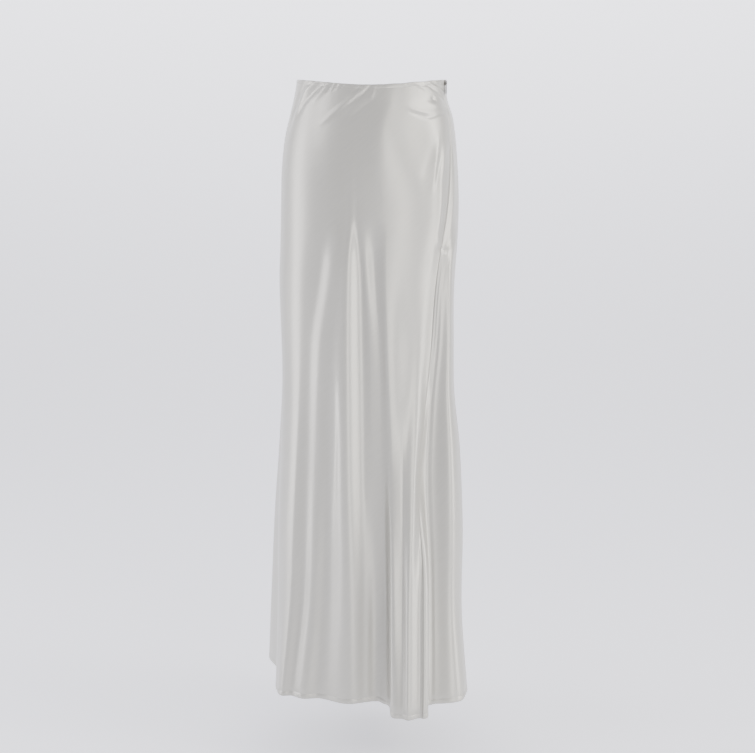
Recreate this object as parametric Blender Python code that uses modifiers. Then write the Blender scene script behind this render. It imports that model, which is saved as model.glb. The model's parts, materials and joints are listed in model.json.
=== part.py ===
"""A long bias-cut satin skirt, close over the hips and flaring gently into a fluted fishtail hem.

The front of the skirt faces -Y, the wearer's left side, with the zip, is at +X, and the
middle of the waist is the origin. Drops are measured down from the waist edge at the sides.
A bearing is the angle round the skirt, 0 at the middle of the front, growing towards the
wearer's left.
"""

import math
from collections import namedtuple
from functools import lru_cache

import bmesh
import bpy
import numpy as np
from mathutils import Matrix, Vector

# The cloth
LENGTH = 1.003  # waist edge to hem
CLOTH = 0.0012  # wall
TURNED = 0.0021  # wall where an edge is turned in and stitched
TURNED_PROUD = 0.0004  # how far a turned edge stands out of the cloth
WAIST_TURN = 0.007  # depth of the turned waist edge
HEM_TURN = 0.008  # depth of the rolled hem
FRONT_DIP = 0.0095  # how far the waist edge dips in front
BACK_DIP = 0.012  # and behind
SEAM_GAP = 0.0003
FINE_GAP = 0.0003  # between pieces that lie on each other
FULLNESS = 1.08  # how round a fold is between its ridge and its valley
PROBE = 0.01  # radians or lines round the skirt over which a direction is measured

# Plain sections of the skirt, before its folds. corner is 2 for an ellipse, more for squarer.
Section = namedtuple("Section", "drop right left front back corner")
SECTIONS = (
    Section(0.000, 0.1190, 0.1235, 0.0930, 0.0930, 2.10),
    Section(0.030, 0.1245, 0.1250, 0.0990, 0.0960, 2.10),
    Section(0.057, 0.1310, 0.1335, 0.1040, 0.1010, 2.10),
    Section(0.085, 0.1380, 0.1380, 0.1090, 0.1080, 2.10),
    Section(0.130, 0.1440, 0.1420, 0.1140, 0.1180, 2.15),
    Section(0.200, 0.1465, 0.1450, 0.1170, 0.1290, 2.20),
    Section(0.270, 0.1480, 0.1420, 0.1180, 0.1300, 2.20),
    Section(0.330, 0.1500, 0.1380, 0.1180, 0.1260, 2.20),
    Section(0.480, 0.1480, 0.1350, 0.1190, 0.1270, 2.25),
    Section(0.600, 0.1520, 0.1470, 0.1210, 0.1360, 2.30),
    Section(0.730, 0.1590, 0.1510, 0.1250, 0.1500, 2.40),
    Section(0.870, 0.1620, 0.1455, 0.1310, 0.1700, 2.50),
    Section(1.003, 0.1640, 0.1520, 0.1380, 0.1900, 2.60),
)

# Lines that run down the cloth along the ridge or the valley of each fold, in order round
# the skirt from the seam at the wearer's right, with their bearings in degrees at the drops
# of LEVELS, how far they stand out of the plain section there, in millimetres, how much lower
# the hem hangs on them, and how many columns of the wall there are up to the next line.
LEVELS = (0.0, 0.21, 0.30, 0.42, 0.62, 0.82, 1.003)
Line = namedtuple("Line", "name bearings out lower columns")
FRONT_LINES = (
    Line(
        "back flute, right", (-84, -96, -101, -108, -113, -117, -121), (0, 0, 1, 3, 12, 20, 27), -6, 4
    ),
    Line("side valley", (-72, -79, -82, -86, -91, -93, -88), (0, 0, 0, -1, -3, -7, -9), -3, 3),
    Line("side fold", (-60, -64, -65, -66, -67, -66, -62), (0, 0, 0, 1, 1, 1, 9), 0, 3),
    Line("hip fold", (-50, -53, -55, -55, -55, -54, -53.5), (0, 0, 0.5, 1.5, 3, 5, 18), 0, 2),
    Line(
        "hip fold valley", (-41, -36, -39.5, -46, -47, -47.5, -49), (0, 0, -1, 0, -2.5, -6, 6), 0, 3
    ),
    Line(
        "thigh fold", (-33, -25, -26, -33.5, -38.5, -40.5, -42), (0, 0, 7.5, 5.5, 0.5, -1, 9), 0, 3
    ),
    Line(
        "thigh valley", (-25, -20, -21.5, -28.5, -31.5, -32.5, -34), (0, 0, 8.5, 5.5, -3, -9, -4), 0, 3
    ),
    Line(
        "middle fold", (-18, -15, -17, -18, -17, -14.5, -13), (0, 1, 9.5, 10.5, 11.5, 12, 15), 0, 3
    ),
    Line("middle valley", (-10, -10, -7, -5.5, -4, -3, -3), (0, 0, -4, -6.5, -6, -2, 5), 0, 2),
    Line("small fold", (0, -6.5, -4, 0, 2.5, 5, 4), (0, 0, -2.5, -4, -5.5, -7, 0), 0, 3),
    Line(
        "hollow beside the flute", (12, 2, 4, 7.5, 8.5, 10, 9), (0, 0, -6.5, -5, -5, -6.5, 9), 2, 3
    ),
    Line("flute, near edge", (26, 14, 12, 13, 16, 14, 12), (0, 0, 0, 2, 5, 27, 52), 12, 3),
    Line(
        "foot of the seam fold", (45, 38, 28, 33, 23.5, 18.5, 15), (0, 0, -1, -5, 6, 26, 54), 12, 3
    ),
    Line("seam fold", (62, 53, 44.5, 40.5, 29.5, 21.5, 17), (0, 1.5, -1.5, -4, 9.5, 36, 64), 12, 2),
    Line(
        "seam fold valley", (74, 60, 53.5, 50, 37.5, 28.5, 23), (0, -1, -2.5, -6, -3, 30, 57), 12, 2
    ),
)
BACK_LINES = (
    Line(
        "flute, far edge", (82, 65.5, 55.5, 52, 40.5, 30.5, 24.5), (0, -1, -0.5, -4, -9, 34, 62), 12, 2
    ),
    Line("flute foot", (88, 71, 57, 53.5, 45, 43, 34.5), (0, 0.5, 2.5, -1, -12, -2, 18), 6, 2),
    Line(
        "side panel, front", (92, 75, 59, 55.5, 49, 45.5, 37.5), (0, 0.5, 6, 4.5, -6.5, 2.5, 22), 4, 2
    ),
    Line("flat side panel", (98, 82, 62, 59.5, 57, 54, 48), (0, 0, 9.5, 14.5, 16, 20.5, 40), 2, 3),
    Line("front corner", (105, 90, 71, 68, 66, 63, 57), (0, 0, 3.5, 10, 12, 17.5, 31.5), -4, 4),
    Line("left side valley", (114, 100, 92, 88, 87, 86, 82), (0, 0, 0, 0, -1, -3, -6), -2, 4),
    Line("left side flute", (123, 112, 110, 109, 107, 106, 105), (0, 0, 1, 2, 4, 2, 1), 0, 4),
    Line("left back valley", (133, 125, 124, 123, 122, 121, 120), (0, 0, 0, -1, -4, -8, -12), 0, 4),
    Line("left back flute", (144, 139, 138, 138, 137, 136, 136), (0, 0, 1, 3, 9, 16, 24), 0, 4),
    Line(
        "back valley, left", (155, 153, 152, 152, 152, 151, 151), (0, 0, 0, -1, -5, -9, -13), 0, 4
    ),
    Line("back flute, left", (168, 167, 167, 167, 167, 167, 166), (0, 0, 1, 3, 8, 15, 22), 0, 4),
    Line(
        "back valley, middle", (182, 182, 181, 181, 181, 181, 180), (0, 0, -1, -2, -6, -10, -15), 0, 4
    ),
    Line("back flute, middle", (197, 196, 195, 195, 194, 194, 194), (0, 0, 1, 3, 10, 18, 26), 0, 4),
    Line(
        "back valley, right", (215, 210, 209, 207, 206, 206, 206), (0, 0, 0, -1, -5, -9, -14), 0, 4
    ),
    Line("seam flute", (238, 229, 226, 222, 219, 219, 218), (0, 0, 1, 2, 7, 13, 20), -2, 2),
    Line(
        "seam flute valley", (262, 249, 244, 238, 232, 229, 227), (0, 0, 0, -1, -3, -6, -8), -4, 4
    ),
)
LINES = FRONT_LINES + BACK_LINES
RIGHT_SEAM = -0.5  # halfway down the side of a fold, in lines from the first one
LEFT_SEAM = len(FRONT_LINES) - 0.5

# Drops of the rings of the wall between the turned edges
RINGS = (
    0.032, 0.060, 0.090, 0.125, 0.165, 0.205, 0.235, 0.262, 0.300, 0.345, 0.390, 0.440,
    0.490, 0.540, 0.590, 0.640, 0.690, 0.740, 0.790, 0.840, 0.890, 0.945,
)
STEP = 0.0007  # the slope where a turned edge begins

# The zip, in the seam at the wearer's left
ZIP_END = RINGS[7]  # drop of its lower end
ZIP_OPENS = 0.014  # the seam's edges part above this drop
ZIP_MOUTH = 0.0016  # half the width that they part by
TAPE_NEAR = 0.0038  # the tape's edges, measured from the seam
TAPE_FAR = 0.0140
TAPE = 0.0010
COIL_HALF = 0.0021
COIL_DEEP = 0.0018
COIL_TOP = 0.0145
SLIDER_DROP = 0.0050  # the middle of the slider
PLATE = (0.0046, 0.0088, 0.0014)  # the slider's outer plate: across, along, thick
PLATE_CLEAR = 0.0008  # the plate over the cloth
NECK = (0.0010, 0.0052)  # across and along
INNER_PLATE = (0.0062, 0.0092, 0.0020)
BRIDGE = (0.0013, 0.0064, 0.0022)  # the bow that holds the pull tab
BRIDGE_HOLE = (0.0038, 0.0014)  # along and high
TAB_BAR = 0.0009  # the bar of the tab that lies in the bridge
TAB_WINDOW = (0.0020, 0.0036)  # across and along
TAB_TOP = 0.0042  # width at the window
TAB_WIDE = 0.0066  # the tab's widest
TAB_LONG = 0.0185
STOP = (0.0052, 0.0034, 0.0018)  # the clip that ends the zip
STOP_CLEAR = 0.0008  # below the coils


def between(places, values, at):
    """A smooth curve through values at places that never runs past them."""
    places = np.asarray(places, float)
    values = np.asarray(values, float)
    slope = np.gradient(values, places)
    rises = np.diff(values) / np.diff(places)
    least = 3 * np.minimum(abs(rises[:-1]), abs(rises[1:]))
    turning = rises[:-1] * rises[1:] <= 0
    slope[1:-1] = np.where(turning, 0, np.clip(slope[1:-1], -least, least))
    at = np.clip(at, places[0], places[-1])
    i = np.clip(np.searchsorted(places, at, side="right") - 1, 0, len(places) - 2)
    step = places[i + 1] - places[i]
    t = (at - places[i]) / step
    low, high = values[i], values[i + 1]
    rise = (2 * t**3 - 3 * t**2 + 1) * low + (3 * t**2 - 2 * t**3) * high
    return rise + step * ((t**3 - 2 * t**2 + t) * slope[i] + (t**3 - t**2) * slope[i + 1])


def plain_radius(drop, bearing):
    """How far the plain section is from the axis, at a drop and a bearing in radians."""
    read = {
        name: between([s.drop for s in SECTIONS], [getattr(s, name) for s in SECTIONS], drop)
        for name in ("right", "left", "front", "back", "corner")
    }
    across, ahead = math.sin(bearing), math.cos(bearing)
    half = read["left"] if across > 0 else read["right"]
    deep = read["front"] if ahead > 0 else read["back"]
    n = read["corner"]
    return ((abs(across) / half) ** n + (abs(ahead) / deep) ** n) ** (-1 / n)


def plain_point(drop, bearing):
    radius = plain_radius(drop, bearing)
    return np.array((radius * math.sin(bearing), -radius * math.cos(bearing)))


@lru_cache(maxsize=None)
def plain_line_at(index, share):
    """A line at a share of the way down: its place, the way round there, its drop, how far out."""
    line = LINES[index % len(LINES)]
    turns = math.radians(360) * (index // len(LINES))
    waist_bearing = math.radians(line.bearings[0])
    ahead = math.cos(waist_bearing)
    dip = (FRONT_DIP if ahead > 0 else BACK_DIP) * ahead**2
    drop = dip + share * (LENGTH + line.lower / 1000 - dip)
    bearing = math.radians(float(between(LEVELS, line.bearings, drop))) + turns
    out = float(between(LEVELS, line.out, drop)) / 1000
    plain = plain_point(drop, bearing)
    place = plain * (1 + out / np.linalg.norm(plain))
    along = plain_point(drop, bearing + PROBE) - plain_point(drop, bearing - PROBE)
    return place, along / np.linalg.norm(along), drop, out


@lru_cache(maxsize=None)
def line_at(index, share):
    """A line's place, the cloth's direction round there and the drop.

    The cloth leans on a fold's side, and is level on its ridge and in its valley.
    """
    place, along, drop, out = plain_line_at(index, share)
    before, _, _, out_before = plain_line_at(index - 1, share)
    after, _, _, out_after = plain_line_at(index + 1, share)
    rise_to = (out - out_before) / np.linalg.norm(place - before)
    rise_from = (out_after - out) / np.linalg.norm(after - place)
    lean = 0.0
    if rise_to * rise_from > 0:
        lean = 2 * rise_to * rise_from / (rise_to + rise_from)
    outward = np.array((along[1], -along[0]))
    return place, along + lean * outward, drop


def cloth_point(share, around):
    """A point of the cloth's outer face, share of the way down and around in lines."""
    index = math.floor(around)
    t = around - index
    start, start_along, start_drop = line_at(index, share)
    end, end_along, end_drop = line_at(index + 1, share)
    pull = FULLNESS * np.linalg.norm(end - start)
    ease = 3 * t**2 - 2 * t**3
    place = (
        (1 - ease) * start
        + ease * end
        + pull * ((t**3 - 2 * t**2 + t) * start_along + (t**3 - t**2) * end_along)
    )
    drop = (1 - ease) * start_drop + ease * end_drop
    return Vector((place[0], place[1], -drop))


def cloth_normal(share, around):
    """The direction out of the cloth."""
    step = 0.004  # of the way down
    low, high = max(share - step, 0), min(share + step, 1)
    along = cloth_point(share, around + PROBE) - cloth_point(share, around - PROBE)
    down = cloth_point(high, around) - cloth_point(low, around)
    return along.cross(-down).normalized()


def beside_seam(share, distance, seam=LEFT_SEAM):
    """The place round the skirt that lies a distance from the seam, along the cloth."""
    around, steps = seam, 8
    for _ in range(steps):
        ahead = (cloth_point(share, around + PROBE) - cloth_point(share, around)).length
        around += distance / steps * PROBE / ahead
    return around


def material(name, colour, roughness, metallic=0.0):
    made = bpy.data.materials.new(name)
    made.use_nodes = True
    shader = made.node_tree.nodes["Principled BSDF"]
    shader.inputs["Base Color"].default_value = (*colour, 1)
    shader.inputs["Roughness"].default_value = roughness
    shader.inputs["Metallic"].default_value = metallic
    return made


def collection(name):
    made = bpy.data.collections.new(name)
    bpy.context.scene.collection.children.link(made)
    return made


def add_object(name, data, made_of, group):
    thing = bpy.data.objects.new(name, data)
    if made_of:
        data.materials.append(made_of)
    group.objects.link(thing)
    return thing


def cloth_sheet(columns, shares, place, is_thick=None):
    """A grid of cloth: place(column, share) gives each corner, is_thick(share) its thick rows."""
    sheet = bmesh.new()
    wide, tall = len(columns) - 1, len(shares) - 1
    bmesh.ops.create_grid(sheet, x_segments=wide, y_segments=tall, size=0.5)
    weights = sheet.verts.layers.deform.verify()
    for vert in sheet.verts:
        column = round((vert.co.x + 0.5) * wide)
        share = shares[round((0.5 - vert.co.y) * tall)]
        vert.co = place(columns[column], share)
        if is_thick and is_thick(share):
            vert[weights][0] = 1.0
    return sheet


def mesh_from(made, name):
    mesh = bpy.data.meshes.new(name)
    made.to_mesh(mesh)
    made.free()
    mesh.shade_smooth()
    return mesh


def add_wall(thing, thickness):
    """Give a sheet its thickness, inwards from its outer face."""
    wall = thing.modifiers.new("wall", "SOLIDIFY")
    wall.thickness = thickness
    wall.offset = -1
    wall.use_even_offset = True
    wall.use_quality_normals = True
    return wall


def ring_shares():
    """The rings of a panel, with those of its turned edges."""
    top = (0.0, WAIST_TURN, WAIST_TURN + STEP)
    foot = (LENGTH - HEM_TURN - STEP, LENGTH - HEM_TURN, LENGTH)
    return [drop / LENGTH for drop in top + RINGS + foot]


def is_turned(share):
    return not WAIST_TURN / LENGTH + 1e-6 < share < 1 - HEM_TURN / LENGTH - 1e-6


def panel_columns(first_seam, last_seam):
    """The places round the skirt of a panel's columns, from seam to seam."""
    inside = []
    for index in range(math.floor(first_seam), math.ceil(last_seam)):
        count = LINES[index % len(LINES)].columns
        inside += [index + k / count for k in range(count)]
    nearest = 0.1  # to a seam, in lines
    inside = [u for u in inside if first_seam + nearest < u < last_seam - nearest]
    return [first_seam, *inside, last_seam]


def zip_shares(top):
    """The rings of the panels along the zip, from a drop down."""
    return [top / LENGTH] + [share for share in ring_shares() if top < share * LENGTH <= ZIP_END]


def neighbours(places, at):
    """The two places that a value lies between, and how far it is from the first."""
    low = max(place for place in places if place <= at)
    high = min(place for place in places if place > at)
    return low, high, (at - low) / (high - low)


def inside_wall(share, around, deep):
    """A point inside the skirt, deep behind the flat facet of the panel that lies there."""
    upper, lower, down = neighbours([*ring_shares(), 2.0], share)
    columns = panel_columns(RIGHT_SEAM, LEFT_SEAM) + panel_columns(LEFT_SEAM, len(LINES))[1:]
    left, right, along = neighbours(columns, around)

    def corner(ring, column):
        ring = min(ring, 1.0)
        return cloth_point(ring, column) - deep * cloth_normal(ring, column)

    top = corner(upper, left).lerp(corner(upper, right), along)
    foot = corner(lower, left).lerp(corner(lower, right), along)
    return top.lerp(foot, down)


def zip_mouth(share):
    """Half the width by which the seam's edges part at the top of the zip."""
    return ZIP_MOUTH * max(0.0, 1 - share * LENGTH / ZIP_OPENS)


def make_panel(name, first_seam, last_seam, made_of, group):
    def place(around, share):
        side = (around == first_seam) - (around == last_seam)
        if side:
            at_zip = (around - LEFT_SEAM) % len(LINES) == 0
            clear = SEAM_GAP / 2 + (zip_mouth(share) if at_zip else 0)
            around = beside_seam(share, side * clear, around)
        proud = TURNED_PROUD if is_turned(share) else 0
        return cloth_point(share, around) + proud * cloth_normal(share, around)

    sheet = cloth_sheet(panel_columns(first_seam, last_seam), ring_shares(), place, is_turned)
    panel = add_object(name, mesh_from(sheet, name), made_of, group)
    panel.vertex_groups.new(name="turned")
    wall = add_wall(panel, TURNED)
    wall.vertex_group = "turned"
    wall.thickness_vertex_group = CLOTH / TURNED
    return panel


def make_tape(name, side, made_of, group):
    """Half of the zip's tape, sewn to the seam's edge on the inside of the skirt."""
    ends = (TAPE_NEAR, (TAPE_NEAR + TAPE_FAR) / 2, TAPE_FAR)
    across = [side * end for end in (ends if side > 0 else ends[::-1])]
    deep = TURNED + FINE_GAP - TURNED_PROUD

    def place(distance, share):
        return inside_wall(share, beside_seam(share, distance), deep)

    sheet = cloth_sheet(across, zip_shares(0.0), place)
    tape = add_object(name, mesh_from(sheet, name), made_of, group)
    add_wall(tape, TAPE)
    return tape


def make_coil(made_of, group):
    """The closed coils of the zip, one plain strip behind the seam."""

    def place(distance, share):
        return inside_wall(share, beside_seam(share, distance), CLOTH + FINE_GAP)

    sheet = cloth_sheet((-COIL_HALF, 0.0, COIL_HALF), zip_shares(COIL_TOP), place)
    coil = add_object("zip_coil", mesh_from(sheet, "zip_coil"), made_of, group)
    add_wall(coil, COIL_DEEP)
    return coil


def seam_frame(drop, out):
    """A frame on the zip: X round the skirt, Y up the zip and Z out of the cloth."""
    share = drop / LENGTH
    out_of = cloth_normal(share, LEFT_SEAM)
    step = 0.002
    up = cloth_point(share - step, LEFT_SEAM) - cloth_point(share + step, LEFT_SEAM)
    up = (up - up.dot(out_of) * out_of).normalized()
    frame = Matrix.Identity(4)
    place = cloth_point(share, LEFT_SEAM) + out * out_of
    for column, axis in enumerate((up.cross(out_of), up, out_of, place)):
        frame.col[column].xyz = axis
    return frame


def box(name, size, frame, middle, group, made_of=None):
    """A box of a size, its middle at a point of a frame."""
    made = bmesh.new()
    bmesh.ops.create_cube(made, matrix=Matrix.Diagonal((*size, 1)))
    thing = add_object(name, mesh_from(made, name), made_of, group)
    thing.data.shade_flat()
    thing.matrix_world = frame @ Matrix.Translation(middle)
    return thing


def hide_cutter(thing):
    thing.hide_render = True
    thing.display_type = "WIRE"


def combine(thing, other, operation):
    joined = thing.modifiers.new(other.name, "BOOLEAN")
    joined.operation = operation
    joined.object = other
    hide_cutter(other)


def pivot_height():
    """How high over the cloth the pull tab's bar lies."""
    return PLATE_CLEAR + PLATE[2] + BRIDGE_HOLE[1] / 2


def make_slider(made_of, group, cutters):
    """The slider: an outer plate with a bow for the tab, a neck in the seam, an inner plate."""
    frame = seam_frame(SLIDER_DROP, 0)
    plate_low = PLATE_CLEAR
    plate_high = plate_low + PLATE[2]
    inner_high = -(TURNED - TURNED_PROUD) - FINE_GAP
    sunk = 0.0003  # how far joined boxes reach into each other
    slider = box("zip_slider", PLATE, frame, (0, 0, (plate_low + plate_high) / 2), group, made_of)
    neck_size = (*NECK, plate_low - inner_high + 2 * sunk)
    neck = box("slider_neck", neck_size, frame, (0, 0, (plate_low + inner_high) / 2), cutters)
    inner_middle = (0, 0, inner_high - INNER_PLATE[2] / 2)
    inner = box("slider_inner_plate", INNER_PLATE, frame, inner_middle, cutters)
    bow_size = (BRIDGE[0], BRIDGE[1], BRIDGE[2] + sunk)
    bow_middle = (0, 0, plate_high + (BRIDGE[2] - sunk) / 2)
    bow = box("slider_bow", bow_size, frame, bow_middle, cutters)
    hole_size = (2 * BRIDGE[0], *BRIDGE_HOLE)
    hole = box("slider_bow_hole", hole_size, frame, (0, 0, pivot_height()), cutters)
    for piece in (neck, inner, bow):
        combine(slider, piece, "UNION")
    combine(slider, hole, "DIFFERENCE")
    return slider


def make_pull_tab(made_of, group):
    """The pull tab, a drop-shaped plate that hangs from the slider's bow by its top bar."""
    outline = bpy.data.curves.new("zip_pull_tab", "CURVE")
    outline.dimensions = "2D"
    outline.fill_mode = "BOTH"
    outline.extrude = TAB_BAR / 2
    top, half_top, half_wide = TAB_BAR / 2, TAB_TOP / 2, TAB_WIDE / 2
    round_middle = -(TAB_LONG - half_wide)
    shape = [(-half_top, top), (half_top, top), (half_top, -TAB_WINDOW[1] - TAB_BAR)]
    sides = 10  # of the half circle
    for k in range(sides + 1):
        angle = math.pi * (k / sides)
        shape.append((half_wide * math.cos(angle), round_middle - half_wide * math.sin(angle)))
    shape.append((-half_top, -TAB_WINDOW[1] - TAB_BAR))
    half_window = TAB_WINDOW[0] / 2
    window_low = -TAB_BAR / 2 - TAB_WINDOW[1]
    window = [(-half_window, -TAB_BAR / 2), (half_window, -TAB_BAR / 2)]
    window += [(half_window, window_low), (-half_window, window_low)]
    for points in (shape, window):
        spline = outline.splines.new("POLY")
        spline.points.add(len(points) - 1)
        spline.use_cyclic_u = True
        for point, (x, y) in zip(spline.points, points):
            point.co = (x, y, 0, 1)
    tab = add_object("zip_pull_tab", outline, made_of, group)
    tab.matrix_world = seam_frame(SLIDER_DROP, pivot_height())
    return tab


def make_stop(made_of, group):
    """The clip across the coils at the zip's lower end."""
    inner = -(CLOTH + FINE_GAP) - STOP[2] / 2
    drop = ZIP_END + STOP[1] / 2 + STOP_CLEAR
    return box("zip_stop", STOP, seam_frame(drop, 0), (0, 0, inner), group, made_of)


def main():
    for thing in list(bpy.data.objects):
        bpy.data.objects.remove(thing)
    satin = material("champagne satin", (0.60, 0.59, 0.56), 0.38)
    tape_cloth = material("zip tape", (0.55, 0.54, 0.51), 0.8)
    nylon = material("nylon coil", (0.57, 0.56, 0.53), 0.45)
    metal = material("plated zinc", (0.42, 0.42, 0.43), 0.3, 1.0)
    group = collection("mermaid skirt")
    cutters = collection("cutters")
    make_panel("front_panel", RIGHT_SEAM, LEFT_SEAM, satin, group)
    make_panel("back_panel", LEFT_SEAM, RIGHT_SEAM + len(LINES), satin, group)
    make_tape("zip_tape_front", -1, tape_cloth, group)
    make_tape("zip_tape_back", 1, tape_cloth, group)
    make_coil(nylon, group)
    make_slider(metal, group, cutters)
    make_pull_tab(metal, group)
    make_stop(metal, group)


main()
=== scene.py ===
import json
import math

import bmesh
import bpy
import numpy as np
from mathutils import Matrix, Vector

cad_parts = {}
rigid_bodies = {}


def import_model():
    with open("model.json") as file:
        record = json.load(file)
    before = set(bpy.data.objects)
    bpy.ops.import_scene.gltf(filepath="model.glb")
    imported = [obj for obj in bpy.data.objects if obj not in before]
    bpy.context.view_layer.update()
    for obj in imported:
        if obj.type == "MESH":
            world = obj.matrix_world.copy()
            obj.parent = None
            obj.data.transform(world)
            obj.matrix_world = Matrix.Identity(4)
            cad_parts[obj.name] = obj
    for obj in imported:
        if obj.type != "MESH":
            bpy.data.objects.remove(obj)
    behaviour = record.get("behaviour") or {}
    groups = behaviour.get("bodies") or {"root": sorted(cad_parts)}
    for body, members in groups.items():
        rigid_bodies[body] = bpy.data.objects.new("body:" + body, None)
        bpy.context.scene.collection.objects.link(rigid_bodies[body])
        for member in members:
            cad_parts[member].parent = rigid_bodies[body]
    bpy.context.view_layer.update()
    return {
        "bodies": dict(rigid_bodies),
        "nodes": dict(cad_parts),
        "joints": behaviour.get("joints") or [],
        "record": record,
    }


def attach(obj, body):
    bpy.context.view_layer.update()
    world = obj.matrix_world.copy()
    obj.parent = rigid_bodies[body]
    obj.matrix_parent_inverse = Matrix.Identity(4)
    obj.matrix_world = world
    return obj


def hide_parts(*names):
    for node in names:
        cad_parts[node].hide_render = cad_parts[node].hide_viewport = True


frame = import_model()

# Drops are measured down from the waist edge at the skirt's sides, bearings in degrees round
# the skirt from the middle of the front, growing towards the wearer's left.

camera = {
    "place": (0.0115, -2.87, -0.064),
    "pitch": 8.4,  # degrees below level
    "lens": 83.0,
}

studio = {
    "floorDrop": 1.11,
    "floorColour": "#dbdbe1",
    "floorGlow": 0.85,  # light that the bright room sends back from the floor
    "wallGlow": 3.3,  # and from up the wall
    "room": 9.0,  # width of the floor
    "floorFront": -5.0,
    "wallPlace": 3.4,  # where the floor has turned up into the wall
    "bend": 1.6,  # radius of that turn
    "wallHigh": 4.0,
    "ambient": "#e6e7ee",
    "ambientStrength": 1.2,
    "glowTop": 1.2,  # height at which the wall's glow is full
    "lightsAim": (0, 0, -0.5),
    # name, bearing and distance from the skirt, height, width, length, watts, colour
    "lights": (
        ("right softbox", 76, 2.4, -0.25, 0.9, 2.4, 52, "#fffcf8"),
        ("left softbox", -91, 2.3, -0.35, 1.0, 2.5, 56, "#fdfbff"),
        ("upper right softbox", 62, 2.4, 1.0, 0.9, 0.8, 26, "#fffcf8"),
        ("upper left softbox", -62, 2.4, 0.95, 0.8, 0.8, 18, "#fdfbff"),
        ("front fill", 28, 3.1, -0.5, 1.2, 2.6, 50, "#fffcf8"),
    ),
}

skirt = {
    "length": 1.003,
    "frontDip": 0.0095,  # how far the waist edge dips in front
    "backDip": 0.012,
    "fullness": 1.08,  # how round a fold is between its ridge and its valley
    "seamGap": 0.00008,
    "cloth": 0.0007,
    "turnedCloth": 0.0016,  # where an edge is turned in
    "waistTurn": 0.0065,
    "hemTurn": 0.0078,
    # Drops at which the mesh's rings change their spacing, and the spacing from there on
    "rings": ((0.0, 0.0014), (0.032, 0.0024), (0.075, 0.0050), (0.235, 0.0028), (0.285, 0.0100)),
    "columnsInAGap": 12,  # columns of the mesh from one fold line to the next
    # From this line to that one the hem ropes, or the zip's top puckers, and columns are finer
    "fineGaps": ((2, 8, 17), (11, 14, 25)),
    "seamMargin": 0.14,  # part of a gap beside a seam without columns, wider than the zip's mouth
    # Rings of the turned edges, from the waist edge down and from the hem up
    "waistRings": (0.0, 0.0006, 0.0016, 0.0032, 0.0048),
    "hemRings": (0.0055, 0.0038, 0.0022, 0.0009, 0.0),
    "ringsAtTurn": 0.0008,  # and on both sides of where an edge's turned part ends
    "turnedProud": 0.00045,  # how far a turned edge stands out of the cloth
    "turnGroove": (0.00025, 0.0006),  # how deep and wide the cloth sinks where it is stitched
    "seamGroove": (0.0004, 0.0012),  # and along a seam
}

# The twist of the rolled hem: its length, its height all round, and where it is stronger, with
# the bearing, how far that spreads in degrees, and the height
roping = {
    "twist": 0.0075,
    "least": 0.00008,
    "strong": ((-34, 16, 0.00036), (14, 9, 0.00016)),
}

# The zip's sizes are in metres, drops from the waist edge and depths from the cloth's outer face
zipper = {
    "end": 0.262,
    "opens": 0.014,  # above this drop the seam's edges part for the slider
    "mouth": 0.0016,  # half the width that they part by
    "tapeEdges": (0.00235, 0.0140),  # from the seam
    "tapeEdgeAtSlider": 0.0038,
    "sliderFoot": (0.0126, 0.0020),  # the tapes close in above this drop, over this length
    "tapeTop": 0.0003,
    "tapeDeep": 0.0020,
    "tapeThick": 0.0007,
    "tapeRings": 120,
    "tapeColumns": 6,
    "coilTop": 0.0106,
    "coilDeep": 0.0024,  # the middle of the coils
    "coilAside": 0.00098,  # and how far each one's middle is from the seam
    "coilHalf": (0.0012, 0.0006),  # half its width and half its depth
    "pitch": 0.0013,
    "wire": 0.00023,
    "turnPoints": 9,
    "slider": 0.0050,
    "plateClear": 0.0008,
    "plate": 0.0014,
    "innerPlate": 0.0020,
    "innerDeep": 0.0020,
    "neckJoins": 0.0006,  # how much of the neck is in the plates
    "bow": 0.0013,
    "pivot": 0.0029,  # height of the tab's bar over the cloth
    "tab": 0.0009,
    "tabRim": 0.0004,  # how much thicker the tab is at the rim of its grip
    "stopBelow": 0.0025,  # from the zip's end to the middle of the stop
    "stop": 0.0018,
    "stopRidge": 0.0022,
}

stitches = {
    "fromHem": 0.0071,
    "fromWaist": 0.0058,
    "pitch": 0.0032,
    "length": 0.0023,
    "thread": 0.00014,
    "proud": 0.00008,  # how far the thread's middle stands off the cloth
    "bends": (0, 0.22, 0.78, 1),  # shares of a stitch at which its path has a point
    "dip": 0.0002,  # how far its two ends go into the cloth
}

# The plain sections: drop, half widths at the right, left, front and back, squareness
sections = (
    (0.000, 0.1190, 0.1235, 0.0930, 0.0930, 2.10),
    (0.030, 0.1245, 0.1250, 0.0990, 0.0960, 2.10),
    (0.057, 0.1310, 0.1335, 0.1040, 0.1010, 2.10),
    (0.085, 0.1380, 0.1380, 0.1090, 0.1080, 2.10),
    (0.130, 0.1440, 0.1420, 0.1140, 0.1180, 2.15),
    (0.200, 0.1465, 0.1450, 0.1170, 0.1290, 2.20),
    (0.270, 0.1480, 0.1420, 0.1180, 0.1300, 2.20),
    (0.330, 0.1500, 0.1380, 0.1180, 0.1260, 2.20),
    (0.480, 0.1480, 0.1350, 0.1190, 0.1270, 2.25),
    (0.600, 0.1520, 0.1470, 0.1210, 0.1360, 2.30),
    (0.730, 0.1590, 0.1510, 0.1250, 0.1500, 2.40),
    (0.870, 0.1620, 0.1455, 0.1310, 0.1700, 2.50),
    (1.003, 0.1640, 0.1520, 0.1380, 0.1900, 2.60),
)

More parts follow.
